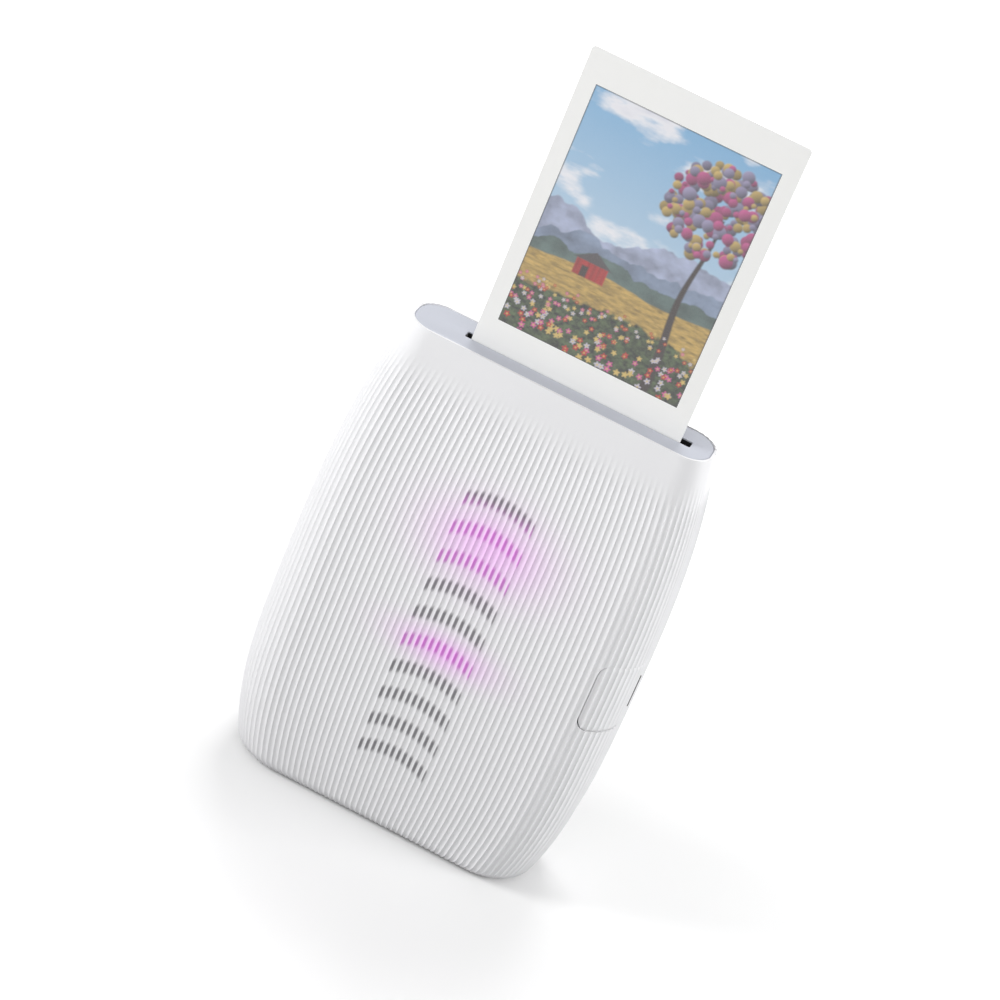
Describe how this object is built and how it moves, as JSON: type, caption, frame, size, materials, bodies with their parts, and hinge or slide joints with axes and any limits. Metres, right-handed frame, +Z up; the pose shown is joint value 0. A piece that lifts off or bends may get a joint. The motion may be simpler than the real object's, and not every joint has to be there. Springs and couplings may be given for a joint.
{
  "type": "compact instant photo printer",
  "caption": "Upright pocket photo printer: ribbed white housing, grey top cap, finished print standing in the exit slot, side power key, rear film door.",
  "frame": {"origin": "middle of the base at table height, with the body's greatest width centred on it", "axes": "+X to the user's right, +Y to the back, +Z up; the ribbed front faces -Y"},
  "size_m": [0.0904, 0.0346, 0.2019],
  "materials": {
    "housing": "satin moulded",
    "cap": "satin moulded",
    "dark_line": "matte",
    "chassis": "matte moulded",
    "pack": "matte moulded",
    "film": "satin",
    "picture": "gloss",
    "felt": "felt",
    "steel": "brushed",
    "gears": "moulded acetal",
    "brass": "turned",
    "frame_plastic": "matte moulded",
    "head": "matte moulded",
    "lens": "clear",
    "window": "tinted clear",
    "cable": "polyimide film",
    "cell": "foil pouch",
    "board": "solder mask",
    "pipes": "frosted clear"
  },
  "bodies": {
    "case": {"front_housing": "housing", "rear_housing": "housing", "top_cap": "cap", "base_cap": "housing", "base_screws": "steel", "chassis": "chassis", "chassis_screws": "steel", "film_pack": "pack", "film_stack": "film", "pack_plate": "pack", "light_seal": "felt", "hinge_pins": "steel", "bearing_left": "gears", "bearing_right": "gears", "nip_springs": "steel", "encoder_sensor": "chassis", "gear_posts": "steel", "gear_plate": "frame_plastic", "motor": "steel", "motor_clamp": "frame_plastic", "print_head": "head", "head_lens": "lens", "head_cable": "cable", "battery": "cell", "main_board": "board", "board_chips": "head", "charging_socket": "steel", "light_board": "board", "light_pipes": "pipes", "light_frame": "chassis", "board_spacers": "frame_plastic", "side_board": "board", "tact_switch": "steel"},
    "film": {"film_sheet": "film", "film_image": "picture"},
    "door": {"film_door": "housing", "door_window": "window", "door_springs": "steel", "latch_spring": "steel"},
    "latch": {"door_latch": "housing"},
    "key": {"power_key": "housing", "key_mark": "dark_line"},
    "front_roller_body": {"front_roller": "steel", "front_roller_gear": "gears"},
    "back_roller_body": {"back_roller": "steel", "back_roller_gear": "gears"},
    "idler": {"idler_gear": "gears"},
    "upper_reduction": {"upper_reduction_gear": "gears"},
    "lower_reduction": {"lower_reduction_gear": "gears"},
    "rotor": {"motor_pinion": "brass", "encoder_disc": "chassis"}
  },
  "joints": [
    {"name": "film_slide", "type": "slide", "parent": "case", "child": "film", "axis": [0, 0, 1], "range_m": [-0.1098, 0.0085]},
    {"name": "door_hinge", "type": "hinge", "parent": "case", "child": "door", "pos_m": [0, 0.01426, 0.0046], "axis": [-1, 0, 0], "range_deg": [0, 90]},
    {"name": "latch_slide", "type": "slide", "parent": "door", "child": "latch", "axis": [0, 0, -1], "range_m": [0, 0.003], "stiffness_N_per_m": 400, "springref_m": -0.001, "deforming": ["latch_spring"]},
    {"name": "power_press", "type": "slide", "parent": "case", "child": "key", "axis": [-0.8191, 0.5736, 0], "range_m": [0, 0.0003], "stiffness_N_per_m": 2500, "springref_m": -0.0002},
    {"name": "back_roller_spin", "type": "hinge", "parent": "case", "child": "back_roller_body", "pos_m": [0, 0.0009, 0.108], "axis": [1, 0, 0], "continuous": true},
    {"name": "front_roller_spin", "type": "hinge", "parent": "case", "child": "front_roller_body", "pos_m": [0, -0.0061, 0.108], "axis": [1, 0, 0], "continuous": true},
    {"name": "idler_spin", "type": "hinge", "parent": "case", "child": "idler", "pos_m": [0, -0.0061, 0.09945], "axis": [1, 0, 0], "continuous": true},
    {"name": "upper_reduction_spin", "type": "hinge", "parent": "case", "child": "upper_reduction", "pos_m": [0, -0.0021, 0.09246], "axis": [1, 0, 0], "continuous": true},
    {"name": "lower_reduction_spin", "type": "hinge", "parent": "case", "child": "lower_reduction", "pos_m": [0, -0.0021, 0.08191], "axis": [1, 0, 0], "continuous": true},
    {"name": "motor_spin", "type": "hinge", "parent": "case", "child": "rotor", "pos_m": [0, -0.01005, 0.07618], "axis": [1, 0, 0], "continuous": true}
  ],
  "couplings": [
    {"joint": "front_roller_spin", "follows": "back_roller_spin", "ratio": -1},
    {"joint": "idler_spin", "follows": "back_roller_spin", "ratio": 0.7},
    {"joint": "upper_reduction_spin", "follows": "back_roller_spin", "ratio": -1.1667},
    {"joint": "lower_reduction_spin", "follows": "back_roller_spin", "ratio": 2.9167},
    {"joint": "motor_spin", "follows": "back_roller_spin", "ratio": -9.7222}
  ]
}
